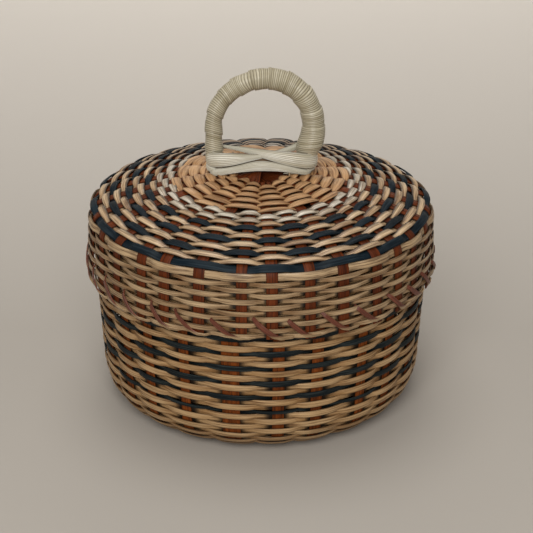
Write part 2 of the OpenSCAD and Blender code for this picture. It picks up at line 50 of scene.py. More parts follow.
# Basket sizes as in the solids; the wall is a little fuller low down, as in the photograph
mouth_r = 68.5
basket_h = 86.5
belly_r = 70.1
foot_r = 68.1
foot_edge_r = 15.0
floor_z = 1.551
floor_kick = 3.0
lean_top_z = 56.0
floor_edge_r = foot_r - foot_edge_r
kick_share = 0.78
kick_r = kick_share * floor_edge_r
kick_curve_r = (kick_r**2 + floor_kick**2) / (2 * floor_kick)
wall_z = floor_z + foot_edge_r
rim_out = 2.93
rim_z = basket_h - rim_out
wall_top = rim_z - rim_out - bind_gap
base_s1 = kick_curve_r * math.asin(kick_r / kick_curve_r)
base_s2 = base_s1 + floor_edge_r - kick_r
base_s3 = base_s2 + foot_edge_r * math.pi / 2
base_lean = (belly_r - foot_r) / (lean_top_z - wall_z)
neck_lean = (belly_r - mouth_r) / (wall_top - lean_top_z)
base_hub_r = 5.6
base_weave_r = 11.1
floor_hub_share = 0.531
floor_hub_end = floor_hub_share * base_s2
wall_rows = 28
wall_pitch = (wall_top - wall_z) / wall_rows

# Lid sizes: a dome, a shoulder that is drawn in a little, and a wall that flares
lid_wall_r = 73.48
lid_draw = 0.7
draw_length = 14
lid_flare = 1.4
dome_r = 215.0
shoulder_r = 5.0
shoulder_z = basket_h - 3.0
lid_edge_r = lid_wall_r - shoulder_r
dome_angle = math.asin(lid_edge_r / (dome_r - shoulder_r))
crown_z = shoulder_z + shoulder_r * math.cos(dome_angle) + dome_r * (1 - math.cos(dome_angle))
lid_s1 = dome_r * dome_angle
lid_s2 = lid_s1 + shoulder_r * (math.pi / 2 - dome_angle)
lid_rim_z = basket_h - 27.8
lid_hub_r = 7.12
lid_hub_end = 37.25
lid_cream_end = 44.67
side_drop = 0.5
shoulder_row = (lid_s2 - lid_s1 + side_drop) / 2
lid_side_rows = 10
lid_side_pitch = (shoulder_z - side_drop - lid_rim_z) / lid_side_rows
lid_cream_rows = 3
lid_cream_pitch = (lid_cream_end - lid_hub_end) / lid_cream_rows
lid_top_rows = 10
lid_top_pitch = (lid_s1 - lid_cream_end) / lid_top_rows

# Splints are narrow and thin at the hub, where they lie in layers
stake_w = 4.8
stake_t = 0.6
hub_w = 1.9
hub_t = 0.22
hub_layer = 0.27
hub_ramp = 4.0
full_w_r = 40.0

# Weavers swing this far from the splints' middle
weaver_t = 0.72
swing = 0.86

# Rim of the basket
hoop_r = 2.0
lash_r = 2.68
lash_w = 2.6
lash_t = 0.5
lash_turns = 48

# Splints in the round
base_stakes = 24
lid_stakes = 32

# Ring handle
handle_x = 1.5
core_r = 3.1
core_bend_r = 5.0
arch_r = 20.6
arch_rise = 19.0
hub_top = crown_z + lid_stakes / 4 * hub_layer
bar_z = hub_top + bind_gap + core_r
arch_z = hub_top + arch_rise

# Turns of the splints, in degrees from the front towards +X; those in front have shifts of their own
base_phase = 5.8
lid_phase = 3.9
base_front_shift = {-3: -2.4, -2: -2.4, -1: -0.9, 0: 0.2, 1: -1.4, 2: 1.0, 3: -1.0}
lid_front_shift = {-3: -1.7, -2: -0.8, -1: 1.5, 0: -0.3, 1: 0.4, 2: 0.3, 3: 2.0}
side_shift = 0.9

# Splints are even up to the first radius, and have their whole shift from the second on
even_r = 14
shifted_r = 44


def stake_shift(count, front_shift):
    """How far each splint stands from its even place, in radians."""
    shift = rng.uniform(-side_shift, side_shift, count)
    for place, turn in front_shift.items():
        shift[place % count] = turn
    return np.radians(shift)


base_shift = stake_shift(base_stakes, base_front_shift)
lid_shift = stake_shift(lid_stakes, lid_front_shift)


def ease(low, high, value):
    """Smooth step from 0 at low to 1 at high."""
    share = np.clip((np.asarray(value, float) - low) / (high - low), 0, 1)
    return share * share * (3 - 2 * share)


def stake_turns(count, phase, shift, r):
    """Turns of all splints at a radius: even at the hub, shifted on the wall."""
    even = np.radians(phase) + 2 * np.pi * np.arange(count) / count
    return even + shift * ease(even_r, shifted_r, r)


def base_turns(r):
    return stake_turns(base_stakes, base_phase, base_shift, r)


def lid_turns(r):
    return stake_turns(lid_stakes, lid_phase, lid_shift, r)


def around(r, turn, z):
    """Point at radius r and height z, turned from the front towards +X."""
    r, turn, z = np.broadcast_arrays(r, turn, z)
    return np.stack([r * np.sin(turn), -r * np.cos(turn), z], -1)


def flank(turn):
    """Direction round the basket at a turn."""
    return np.stack([np.cos(turn), np.sin(turn), np.zeros_like(turn)], -1)


def wall_radius(z):
    """Radius of the basket's wall: out to its widest, then in again to the mouth."""
    low = belly_r - base_lean * (lean_top_z - np.maximum(z, wall_z))
    high = belly_r - neck_lean * (np.minimum(z, wall_top) - lean_top_z)
    return np.where(z < lean_top_z, low, high)


def basket_profile(s):
    """Radius, height and outward normal along a splint, from the floor's middle."""
    s = np.asarray(s, float)
    kick = s / kick_curve_r
    edge = np.clip((s - base_s2) / foot_edge_r, 0, math.pi / 2)
    wall = wall_z + s - base_s3
    zones = [s < base_s1, s < base_s2, s < base_s3]
    flat = np.zeros_like(s)
    r = np.select(zones, [
        kick_curve_r * np.sin(kick), kick_r + s - base_s1, floor_edge_r + foot_edge_r * np.sin(edge)
    ], wall_radius(wall))
    z = np.select(zones, [
        floor_z + floor_kick - kick_curve_r * (1 - np.cos(kick)),
        flat + floor_z,
        floor_z + foot_edge_r * (1 - np.cos(edge)),
    ], wall)
    out_r = np.select(zones, [-np.sin(kick), flat, np.sin(edge)], flat + 1)
    out_z = np.select(zones, [-np.cos(kick), flat - 1, -np.cos(edge)], flat)
    return r, z, out_r, out_z


def lid_profile(s):
    """Radius, height and outward normal along a splint, from the lid's middle."""
    s = np.asarray(s, float)
    dome = s / dome_r
    bend = np.clip(dome_angle + (s - lid_s1) / shoulder_r, dome_angle, math.pi / 2)
    zones = [s < lid_s1, s < lid_s2]
    flat = np.zeros_like(s)
    r = np.select(zones, [dome_r * np.sin(dome), lid_edge_r + shoulder_r * np.sin(bend)], lid_wall_r)
    flare = np.clip((s - lid_s2) / (shoulder_z - lid_rim_z), 0, 1)
    r = r + lid_flare * flare - lid_draw * ease(lid_s1 - draw_length, lid_s1, s)
    z = np.select(zones, [
        crown_z - dome_r * (1 - np.cos(dome)), shoulder_z + shoulder_r * np.cos(bend)
    ], shoulder_z + lid_s2 - s)
    out_r = np.select(zones, [np.sin(dome), np.sin(bend)], flat + 1)
    out_z = np.select(zones, [np.cos(dome), np.cos(bend)], flat)
    return r, z, out_r, out_z


def unit(vectors):
    return vectors / np.linalg.norm(vectors, axis=-1, keepdims=True)


def all_along(path, direction):
    """The same direction at every point of a path."""
    return np.tile(direction, (len(path), 1))


# Cross sections of a strip: across and outwards, in half widths and half thicknesses
crowned = np.array([
    [-1, -0.3], [-0.94, -0.85], [0, -1], [0.94, -0.85], [1, -0.3], [1, 0.3],
    [0.9, 0.78], [0.5, 0.95], [0, 1], [-0.5, 0.95], [-0.9, 0.78], [-1, 0.3],
])
flat_strip = np.array([
    [-1, -0.45], [-0.9, -1], [0.9, -1], [1, -0.45], [1, 0.45],
    [0.9, 1], [0, 1.08], [-0.9, 1], [-1, 0.45], [-1.02, 0],
])


def fluted(strands, depth):
    """Section of a band of straw, bowed over its width, with a ridge for each strand."""
    edge = 0.96
    bow = 0.9
    across = np.linspace(edge, -edge, 4 * strands + 1)
    ridge = 1 - depth * (0.5 + 0.5 * np.cos(np.pi * (across / edge + 1) * strands)) - bow * across**2
    top = np.stack([across, ridge], -1)
    under = np.array([[-1, -0.4], [-0.9, -0.9], [0.9, -0.9], [1, -0.4]])
    section = np.concatenate([under, top])
    even_count = len(section) // 2 * 2
    return section[:even_count]


def round_section(sides):
    turn = 2 * np.pi * np.arange(sides) / sides
    return np.stack([np.cos(turn), np.sin(turn)], -1)


class Strips:
    """Strips of one piece, each keeping its length, its edge and its number for the finish."""

    made = 0

    def __init__(self):
        self.points = []
        self.quads = []
        self.marks = []
        self.tones = []
        self.size = 0

    def add(self, path, across, half_w, half_t, section, closed=False, tilt=0.0, tone=0.0, faces=False):
        """Sweep a section along a path; across points over the strip's width.

        The tone is for the finish: a weaver's finish paints shade where it is low and paints it paler
        where it is high, a strap's turns to tan where it is high. With faces, the strip's back has it
        turned over, so each float that lies outside gets painted shade on its back.
        An open strip gets end caps, so its section has an even number of corners.
        """
        count = len(path)
        corners = len(section)
        if closed:
            along = np.roll(path, -1, 0) - np.roll(path, 1, 0)
        else:
            along = np.gradient(path, axis=0)
        along = unit(along)
        across = unit(across - along * np.sum(across * along, -1, keepdims=True))
        out = np.cross(along, across)
        tilt = np.broadcast_to(tilt, count)[:, None]
        across, out = (
            across * np.cos(tilt) + out * np.sin(tilt),
            out * np.cos(tilt) - across * np.sin(tilt),
        )
        half_w = np.broadcast_to(half_w, count)[:, None, None]
        half_t = np.broadcast_to(half_t, count)[:, None, None]
        ring = path[:, None] + across[:, None] * half_w * section[None, :, :1]
        ring = ring + out[:, None] * half_t * section[None, :, 1:]
        steps = np.linalg.norm(np.diff(path, axis=0), axis=-1)
        length = np.concatenate([[0], np.cumsum(steps)])
        Strips.made += 1
        marks = np.empty((count, corners, 3))
        marks[..., 0] = length[:, None]
        marks[..., 1] = section[None, :, 0]
        marks[..., 2] = Strips.made
        here = np.arange(count if closed else count - 1)
        there = (here + 1) % count
        corner = np.arange(corners)
        turned = (corner + 1) % corners
        quads = np.stack([
            here[:, None] * corners + corner, here[:, None] * corners + turned,
            there[:, None] * corners + turned, there[:, None] * corners + corner,
        ], -1).reshape(-1, 4)
        if not closed:
            side = np.arange(corners // 2 - 1)
            cap = np.stack([side, corners - 1 - side, corners - 2 - side, side + 1], -1)
            far = cap[:, ::-1] + (count - 1) * corners
            quads = np.concatenate([quads, cap, far])
        self.points.append(ring.reshape(-1, 3))
        self.quads.append(quads + self.size)
        self.marks.append(marks.reshape(-1, 3))
        face = np.where(section[:, 1] < 0, -1, 1) if faces else np.ones(corners)
        self.tones.append((np.broadcast_to(tone, count)[:, None] * face).ravel())
        self.size += count * corners

    def grid(self, points, marks, tone):
        """Add a closed tube of points by rows, open at both ends."""
        rows, columns = points.shape[:2]
        row = np.arange(rows - 1)[:, None]
        column = np.arange(columns)
        turned = (column + 1) % columns
        quads = np.stack([
            row * columns + column, row * columns + turned,
            (row + 1) * columns + turned, (row + 1) * columns + column,
        ], -1).reshape(-1, 4)
        self.points.append(points.reshape(-1, 3))
        self.quads.append(quads + self.size)
        self.marks.append(marks.reshape(-1, 3))
        self.tones.append(np.broadcast_to(tone, (rows, columns)).reshape(-1))
        self.size += rows * columns

    def piece(self, name, finish, body):
        """Make the mesh, and let it ride on its body in place of its solids."""
        mesh = bpy.data.meshes.new(name)
        points = np.concatenate(self.points) * MM
        mesh.from_pydata(points, [], np.concatenate(self.quads))
        strip = mesh.attributes.new("strip", "FLOAT_VECTOR", "POINT")
        strip.data.foreach_set("vector", np.concatenate(self.marks).astype(np.float32).ravel())
        tone = mesh.attributes.new("tone", "FLOAT", "POINT")
        tone.data.foreach_set("value", np.concatenate(self.tones).astype(np.float32))
        mesh.shade_smooth()
        mesh.set_sharp_from_angle(angle=sharp_angle)
        mesh.materials.append(finish)
        thing = bpy.data.objects.new(name, mesh)
        bpy.context.scene.collection.objects.link(thing)
        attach(thing, body)
        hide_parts(name)


class Wire:
    """A socket that takes part in sums: each operator adds its Math node."""

    def __init__(self, finish, socket):
        self.finish = finish
        self.socket = socket

    def math(self, operation, first, second):
        return self.finish.node("ShaderNodeMath", {"operation": operation}, {0: first, 1: second})

    def __add__(self, other):
        return self.math("ADD", self, other)

    def __radd__(self, other):
        return self.math("ADD", other, self)

    def __sub__(self, other):
        return self.math("SUBTRACT", self, other)

    def __rsub__(self, other):
        return self.math("SUBTRACT", other, self)

    def __mul__(self, other):
        return self.math("MULTIPLY", self, other)

    def __truediv__(self, other):
        return self.math("DIVIDE", self, other)

    def __pow__(self, other):
        return self.math("POWER", self, other)


class Finish:
    """A procedural material, built node by node."""

    def __init__(self, name):
        self.material = bpy.data.materials.new(name)
        self.material.use_nodes = True
        self.tree = self.material.node_tree
        self.tree.nodes.clear()

    def node(self, kind, settings=None, sockets=None, output=0):
        """Add a node: settings first, then socket values or links; gives one output."""
        made = self.tree.nodes.new(kind)
        for name, value in (settings or {}).items():
            setattr(made, name, value)
        for name, value in (sockets or {}).items():
            if isinstance(value, Wire):
                self.tree.links.new(value.socket, made.inputs[name])
            else:
                made.inputs[name].default_value = value
        return Wire(self, made.outputs[output]) if made.outputs else None

    def limit(self, value):
        return self.node("ShaderNodeClamp", {}, {"Value": value, "Min": 0.0, "Max": 1.0})

    def spread(self, value, low, high):
        """Share from 0 to 1 of a value between two limits."""
        return self.limit((value - low) / (high - low))

    def mix(self, share, first, second):
        settings = {"data_type": "RGBA", "blend_type": "MIX", "clamp_factor": True}
        return self.node("ShaderNodeMix", settings, {0: share, 6: first, 7: second}, 2)

    def noise(self, vector, scale, detail=2.0, roughness=0.5):
        sockets = {"Vector": vector, "Scale": scale, "Detail": detail, "Roughness": roughness}
        return self.node("ShaderNodeTexNoise", {}, sockets)

    def vector(self, x, y, z):
        return self.node("ShaderNodeCombineXYZ", {}, {0: x, 1: y, 2: z})

    def strip(self):
        """Length along a strip, place across it from -1 to 1, and the strip's number."""
        made = self.node("ShaderNodeAttribute", {"attribute_name": "strip"}, {}, "Vector")
        split = self.tree.nodes.new("ShaderNodeSeparateXYZ")
        self.tree.links.new(made.socket, split.inputs[0])
        return [Wire(self, output) for output in split.outputs]

    def tone(self):
        return self.node("ShaderNodeAttribute", {"attribute_name": "tone"}, {}, "Fac")

    def lot(self, number, salt):
        """A steady chance value for each strip."""
        return self.node("ShaderNodeTexWhiteNoise", {"noise_dimensions": "1D"}, {"W": number + salt})

    def close(self, colour, roughness, height, bump_depth, bump_strength, **fixed):
        """Finish with the shader: constants go on its own sockets."""
        bump = self.node("ShaderNodeBump", {}, {
            "Height": height, "Distance": bump_depth * MM, "Strength": bump_strength
        })
        sockets = {"Base Color": colour, "Roughness": roughness, "Normal": bump}
        for name, value in fixed.items():
            sockets[name.replace("_", " ")] = value
        shader = self.node("ShaderNodeBsdfPrincipled", {}, sockets)
        self.node("ShaderNodeOutputMaterial", {}, {"Surface": shader})
        return self.material


def shade(red, green, blue):
    """Colour as a screen shows it, turned into light."""
    light = []
    for value in (red, green, blue):
        share = value / 255
        light.append(share / 12.92 if share <= 0.04045 else ((share + 0.055) / 1.055) ** 2.4)
    return (*light, 1.0)


def scaled(colour, share):
    """Colour with its light scaled."""
    return [min(share * part, 1.0) for part in colour[:3]] + [1.0]


def splint_finish(
    name, pale, deep, streak,
    grain=1.0, rough=0.5, edge_dirt_and_shade=0.7, recess_shade=0.97, shine=0.3, inner_edge_shade=0.0,
):
    """Split wood or cane: fibres along the strip, strips of different tone, painted paler on the crest
    of each float and deeper towards its ends, with painted shade where it dips.

    Its edges get dirt and painted shade, and a share of painted shade can also go along the edge that
    faces the lid's middle.
    """
    work = Finish(name)
    along, edge, number = work.strip()
    lot = work.lot(number, 0.5)
    slow = work.noise(work.vector(along * 0.05, edge * 0.4, number * 3.7), 1.0, 2.0)
    fibre = work.noise(work.vector(along * 0.07, edge * 2.6, number * 7.3), 1.0, 3.0, 0.65)
    fine = work.noise(work.vector(along * 0.3, edge * 11.0, number * 5.1), 1.0, 2.0, 0.6)
    # Painted light and shade: each float is paler on its crest and deeper towards its ends
    crest = work.spread(work.tone(), 0.0, 0.95)
    tone = work.limit(lot * 0.45 + work.spread(slow, 0.35, 0.7) * 0.5 + (1.0 - crest) * 0.3)
    ground = work.mix(tone, pale, deep)
    lines = work.spread(fibre, 0.47, 0.65) * 0.8 * grain
    ground = work.mix(lines, ground, streak)
    pale_lines = work.spread(fibre, 0.44, 0.3) * 0.5 * grain
    ground = work.mix(pale_lines, ground, scaled(pale, 1.35))
    specks = work.spread(fine, 0.56, 0.78) * 0.35 * grain
    ground = work.mix(specks, ground, streak)
    # Darker edges: partly dirt, partly painted shade between neighbouring strips
    dirt_and_shade = (edge * edge) ** 4.0 * edge_dirt_and_shade
    ground = work.mix(dirt_and_shade, ground, scaled(streak, 0.5))
    # Painted shade where the strip dips under a splint
    dip_shade = (1.0 - work.spread(work.tone(), -0.94, -0.76)) * recess_shade
    ground = work.mix(dip_shade, ground, scaled(streak, 0.07))
    # Painted shade along the edge that faces the lid's middle
    if inner_edge_shade:
        inner_shade = work.spread(edge, 0.1, 0.8) * inner_edge_shade
        ground = work.mix(inner_shade, ground, scaled(streak, 0.2))
    roughness = work.limit(rough + (fibre - 0.5) * 0.5 + lot * 0.08)
    height = fibre * 0.7 + fine * 0.3
    return work.close(ground, roughness, height, 0.08 * grain, 0.7, Specular_IOR_Level=shine)


def strap_finish(name, rust_pale, rust_deep, tan_pale, tan_deep):
    """Border straps: rust face that turns over to the tan back at the lower end."""
    work = Finish(name)
    along, edge, number = work.strip()
    lot = work.lot(number, 1.5)
    fibre = work.noise(work.vector(along * 0.12, edge * 5.0, number * 6.1), 1.0, 3.0, 0.6)
    rust = work.mix(work.spread(fibre, 0.35, 0.7), rust_pale, rust_deep)
    tan = work.mix(work.limit(work.spread(fibre, 0.35, 0.75) * 0.6 + lot * 0.4), tan_pale, tan_deep)
    turned = work.spread(work.tone() - edge * 0.3 + (fibre - 0.5) * 0.3, 0.3, 0.6)
    ground = work.mix(turned, rust, tan)
    roughness = work.limit(0.42 + (fibre - 0.5) * 0.4)
    return work.close(ground, roughness, fibre, 0.12, 0.5, Specular_IOR_Level=0.35)


def straw_finish(name, pale, deep, streak, strands, groove_shade, edge_dirt_and_shade=0.0):
    """Flat straw: fine strands side by side, silky, with painted shade in the grooves between them.

    Only a strip whose place across goes from -1 to 1 has edges, which get darker with dirt and painted
    shade.
    """
    work = Finish(name)
    along, edge, number = work.strip()
    place = edge * strands * 0.5
    strand = work.node("ShaderNodeMath", {"operation": "FLOOR"}, {0: place + number * 31.0})
    wave = work.node("ShaderNodeMath", {"operation": "SINE"}, {0: place * math.pi})
    valley = 1.0 - work.node("ShaderNodeMath", {"operation": "ABSOLUTE"}, {0: wave})
    lot = work.lot(strand, 0.25)
    slow = work.noise(work.vector(along * 0.06, edge * 0.7, number * 3.1), 1.0, 2.0)
    fibre = work.noise(work.vector(along * 0.12, place * 2.3, number * 4.7), 1.0, 3.0, 0.6)
    tone = work.limit(lot * lot * 0.6 + work.spread(slow, 0.4, 0.75) * 0.5)
    ground = work.mix(tone, pale, deep)
    lines = work.spread(fibre, 0.55, 0.75) * 0.4
    ground = work.mix(lines, ground, streak)
    # Painted shade in the grooves between strands
    ground = work.mix(valley ** 2.0 * groove_shade, ground, streak)
    # Darker edges: partly dirt, partly painted shade where the bands lie against each other
    if edge_dirt_and_shade:
        dirt_and_shade = (edge * edge) ** 4.0 * edge_dirt_and_shade
        ground = work.mix(dirt_and_shade, ground, scaled(streak, 0.4))
    roughness = work.limit(0.3 + (fibre - 0.5) * 0.3 + lot * 0.1)
    return work.close(ground, roughness, fibre, 0.05, 0.5, Specular_IOR_Level=0.5)


# Finishes: pale, deep and streak colour of each
tan_finish = splint_finish(
    "tan_weaver", shade(187, 161, 125), shade(127, 94, 59), shade(69, 42, 20),
    rough=0.4, edge_dirt_and_shade=0.8, recess_shade=0.98, shine=0.4,
)
# Lid top's weavers: the wall's tan painted paler as painted light, with painted shade along the edge
# that faces the middle
lit_top_finish = splint_finish(
    "top_weaver", shade(206, 181, 146), shade(142, 107, 70), shade(75, 42, 18),
    rough=0.38, edge_dirt_and_shade=0.8, recess_shade=0.98, shine=0.6, inner_edge_shade=0.9,
)
# Hub weavers: a warmer tan of their own, painted paler as painted light, with a little painted shade
# along the edge that faces the middle
lit_hub_finish = splint_finish(
    "hub_weaver", shade(198, 159, 117), shade(158, 116, 74), shade(95, 58, 30),
    rough=0.4, inner_edge_shade=0.3,
)
warm_finish = splint_finish("warm_weaver", shade(185, 155, 115), shade(143, 107, 66), shade(90, 58, 28))
blue_finish = splint_finish(
    "blue_weaver", shade(9, 25, 34), shade(4, 8, 12), shade(42, 54, 61),
    grain=0.8, edge_dirt_and_shade=0.2, recess_shade=0.8, shine=0.15,
)
base_blue_finish = splint_finish(
    "basket_blue_weaver", shade(12, 22, 26), shade(5, 8, 9), shade(52, 59, 58),
    grain=0.9, edge_dirt_and_shade=0.2, recess_shade=0.8, shine=0.15,
)
# Cream weavers, with painted shade along the edge that faces the lid's middle
cream_finish = splint_finish(
    "cream_weaver", shade(210, 205, 191), shade(150, 125, 94), shade(97, 72, 47),
    rough=0.34, edge_dirt_and_shade=0.8, shine=0.75, inner_edge_shade=0.85,
)
rust_finish = splint_finish(
    "lid_rust_splint", shade(106, 49, 18), shade(71, 28, 7), shade(34, 12, 4),
    grain=0.9, edge_dirt_and_shade=0.3, recess_shade=0.6, shine=0.15,
)
base_rust_finish = splint_finish(
    "basket_rust_splint", shade(129, 67, 25), shade(92, 42, 12), shade(50, 21, 6),
    grain=0.9, edge_dirt_and_shade=0.3, recess_shade=0.6, shine=0.12,
)
cane_finish = splint_finish(
    "pale_cane", shade(131, 102, 69), shade(101, 74, 46), shade(69, 48, 27),
    grain=0.8, edge_dirt_and_shade=0.3,
)
strap_two_tone = strap_finish(
    "border_strap", shade(114, 62, 43), shade(60, 27, 17), shade(177, 151, 116), shade(127, 97, 64)
)
wrap_straw = straw_finish(
    "wound_straw", shade(188, 180, 157), shade(152, 142, 114), shade(70, 59, 37),
    strands=2.0, groove_shade=0.9,
)
bound_straw = straw_finish(
    "bound_straw", shade(213, 210, 196), shade(181, 174, 150), shade(92, 78, 50),
    strands=8, groove_shade=0.7, edge_dirt_and_shade=0.9,
)


def row_grid(turns, per_gap):
    """Turns all round a row, with the splint before each and the share of the way to the next."""
    count = len(turns)
    start = count // 2
    order = (np.arange(count) + start) % count
    first = np.concatenate([turns[start:], turns[:start] + 2 * np.pi])
    last = np.append(first[1:], first[0] + 2 * np.pi)
    share = np.arange(per_gap) / per_gap
    turn = first[:, None] + (last - first)[:, None] * share
    return turn.ravel(), np.repeat(order, per_gap), np.tile(share, count)


def wander(turn, size):
    """Small slow swings of a row, closed all round."""
    sway = np.zeros_like(turn)
    for waves in (2, 3, 5, 8):
        sway = sway + rng.normal() * np.sin(waves * turn + rng.uniform(0, 6.3)) / math.sqrt(waves)
    return size * sway


# How much the floats of a row differ in lift, width, place and tilt, and how far the row sways
float_lift = (-0.1, 0.02)
float_width = 0.035
float_slip = 0.09
float_tilt = 0.05
row_sway = 0.07


def weave_row(
    strips, profile, s, width, turns, parity, reach=swing, thick=weaver_t,
    snap=1.5, per_gap=12, loose=1.0, tilt=0.0, narrow=0.84, tuck=0.7, back=1.3, shade_dips=True, span=None,
):
    """One row of weaver over every other splint, at length s of a profile.

    It lies reach outside one splint and tuck inside the next, and snap makes it pass more steeply.
    Unless told not to, the finish paints shade into the row's dips, towards the ends of its floats and
    onto the backs of its outer floats. A span of start and length, in degrees, leaves the row open.
    With dusk, the finish darkens its dips. A span of start and length, in degrees, leaves the row open.
    """
    turn, stake, share = row_grid(turns, per_gap)
    count = len(turns)
    side = np.where((stake + parity) % 2 == 0, 1.0, -1.0)
    wave = side * np.tanh(snap * np.cos(np.pi * share)) / math.tanh(snap)
    lifts = 1 + loose * rng.uniform(*float_lift, count)
    widths = 1 + loose * rng.normal(0, float_width, count)
    slips = loose * rng.normal(0, float_slip, count)
    tilts = tilt + loose * rng.normal(0, float_tilt, count)
    near = (1 + np.cos(np.pi * share)) / 2
    after = (stake + 1) % count

    def between(values):
        return values[stake] * near + values[after] * (1 - near)

    place = s + between(slips) + wander(turn, row_sway * loose)
    r, z, out_r, out_z = profile(place)
    out = np.where(wave > 0, reach, tuck) * wave * between(lifts)
    path = around(r + out * out_r, turn, z + out * out_z)
    across = around(-out_z, turn, out_r)
    shape = narrow + (np.where(wave > 0, 1, back) - narrow) * np.abs(wave) ** 0.7
    half_w = width / 2 * shape * between(widths)
    order = np.arange(len(turn))
    if span:
        way = (turn - math.radians(span[0])) % (2 * math.pi)
        order = np.argsort(way)[:np.count_nonzero(way < math.radians(span[1]))]
    # The wave goes to the finish, which paints shade where it is low
    tone = wave if shade_dips else np.ones_like(wave)
    strips.add(
        path[order], across[order], half_w[order], thick / 2, crowned,
        closed=span is None, tilt=between(tilts)[order], tone=tone[order], faces=shade_dips,
    )


# Steps along a splint, uneven lengths of its two ends, and where its own width comes in
splint_step = 1.6
splint_end = (-0.3, 0.9)
own_width_r = (20, 50)


def lay_splint(strips, profile, turns_at, first, count, layer, end, hub, wide):
    """One splint right across the hub, from rim to rim."""
    s = np.linspace(-end, end, int(2 * end / splint_step) + 1)
    end_drop = rng.uniform(*splint_end, 2)
    s = s * np.where(s < 0, end + end_drop[0], end + end_drop[1]) / end
    r, z, out_r, out_z = profile(np.abs(s))
    spread_turns = np.array([turns_at(radius) for radius in r])
    second = (first + count // 2) % count
    turn = np.where(s >= 0, spread_turns[:, first], spread_turns[:, second])
    hub_share = np.clip((hub + hub_ramp - r) / hub_ramp, 0, 1)
    path = around(r, turn, z + hub_share * layer)
    hand = np.where(s >= 0, -1.0, 1.0)[:, None]
    across = flank(turn) * hand
    width = hub_w + (stake_w - hub_w) * ease(hub + hub_ramp, full_w_r, r)
    grow = np.where(s >= 0, wide[first], wide[second])
    waviness = 1 + 0.03 * np.sin(s * 0.21 + first)
    half_w = width / 2 * (1 + (grow - 1) * ease(*own_width_r, r)) * waviness
    half_t = (hub_share * hub_t + (1 - hub_share) * stake_t) / 2
    strips.add(path, across, half_w, half_t, flat_strip, tone=1.0)


# Splints of basket and lid: one in front is broader, and all go a little past the last row
width_spread = 0.05
base_wide = 1 + rng.normal(0, width_spread, base_stakes)
base_wide[-1] = 1.5
lid_wide = 1 + rng.normal(0, width_spread, lid_stakes)
base_past = 1.4
lid_past = 0.4
base_end = base_s3 + rim_z + base_past - wall_z
lid_end = lid_s2 + shoulder_z - lid_rim_z + lid_past

strips = Strips()
for k in range(base_stakes // 2):
    layer = (k - (base_stakes // 2 - 1) / 2) * hub_layer
    lay_splint(
        strips, basket_profile, base_turns, k, base_stakes, layer, base_end, base_hub_r, base_wide
    )
strips.piece("base_splints", base_rust_finish, "basket")

strips = Strips()
for k in range(lid_stakes // 2):
    layer = (k - (lid_stakes // 2 - 1) / 2) * hub_layer
    lay_splint(strips, lid_profile, lid_turns, k, lid_stakes, layer, lid_end, lid_hub_r, lid_wide)
strips.piece("lid_splints", rust_finish, "lid")


def pair_turns(turns):
    """Middle of each two neighbouring splints."""
    return (turns[0::2] + turns[1::2]) / 2


# Widths of the basket's rows
floor_hub_row_w = 2.9
floor_row_w = 2.55
foot_row_w = 2.6
wall_row_w = 2.72

# Floor of the basket
floor_hub_rows = 8
floor_rows = 10
foot_rows = 10
floor_hub_pitch = (floor_hub_end - base_weave_r) / floor_hub_rows
floor_pitch = (base_s2 - floor_hub_end) / floor_rows
foot_pitch = (base_s3 - base_s2) / foot_rows

strips = Strips()
for i in range(floor_hub_rows):
    s = base_weave_r + (i + 0.5) * floor_hub_pitch
    weave_row(
        strips, basket_profile, s, floor_hub_row_w, pair_turns(base_turns(s)), i,
        snap=2.6, per_gap=20, narrow=0.62,
    )
strips.piece("base_floor_hub_weavers", warm_finish, "basket")

strips = Strips()
for i in range(floor_rows):
    s = floor_hub_end + (i + 0.5) * floor_pitch
    weave_row(
        strips, basket_profile, s, floor_row_w, base_turns(s), i + floor_rows + foot_rows,
        reach=1.14, loose=0.6,
    )
strips.piece("base_floor_weavers", warm_finish, "basket")


def wall_row(strips, i, width=wall_row_w, back=1.3):
    """Row i of the basket's wall, from the foot up."""
    s = base_s3 + (i + 0.5) * wall_pitch
    weave_row(
        strips, basket_profile, s, width, base_turns(foot_r), i, reach=1.1, per_gap=14, back=back
    )


strips = Strips()
for i in range(foot_rows):
    s = base_s2 + (i + 0.5) * foot_pitch
    weave_row(
        strips, basket_profile, s, foot_row_w, base_turns(foot_r), i + foot_rows,
        reach=0.9, loose=0.7, per_gap=14,
    )
for i in (0, 1):
    wall_row(strips, i)
strips.piece("base_foot_weavers", warm_finish, "basket")

# Wall of the basket: one dark row to two tan ones, the lowest dark one thin
thin_blue = {"width": 1.4, "back": 2.4}
full_blue = {"width": 2.45, "back": 1.45}
for i in range(1, 7):
    strips = Strips()
    wall_row(strips, 3 * i - 1, **(thin_blue if i == 1 else full_blue))
    strips.piece(f"base_blue_weaver_{i}", base_blue_finish, "basket")
for i in range(1, 6):
    strips = Strips()
    for k in (0, 1):
        wall_row(strips, 3 * i + k)
    strips.piece(f"base_tan_weavers_{i}", warm_finish, "basket")
first_neck_row = 18
strips = Strips()
for i in range(first_neck_row, wall_rows):
    wall_row(strips, i)
strips.piece("base_neck_weavers", warm_finish, "basket")

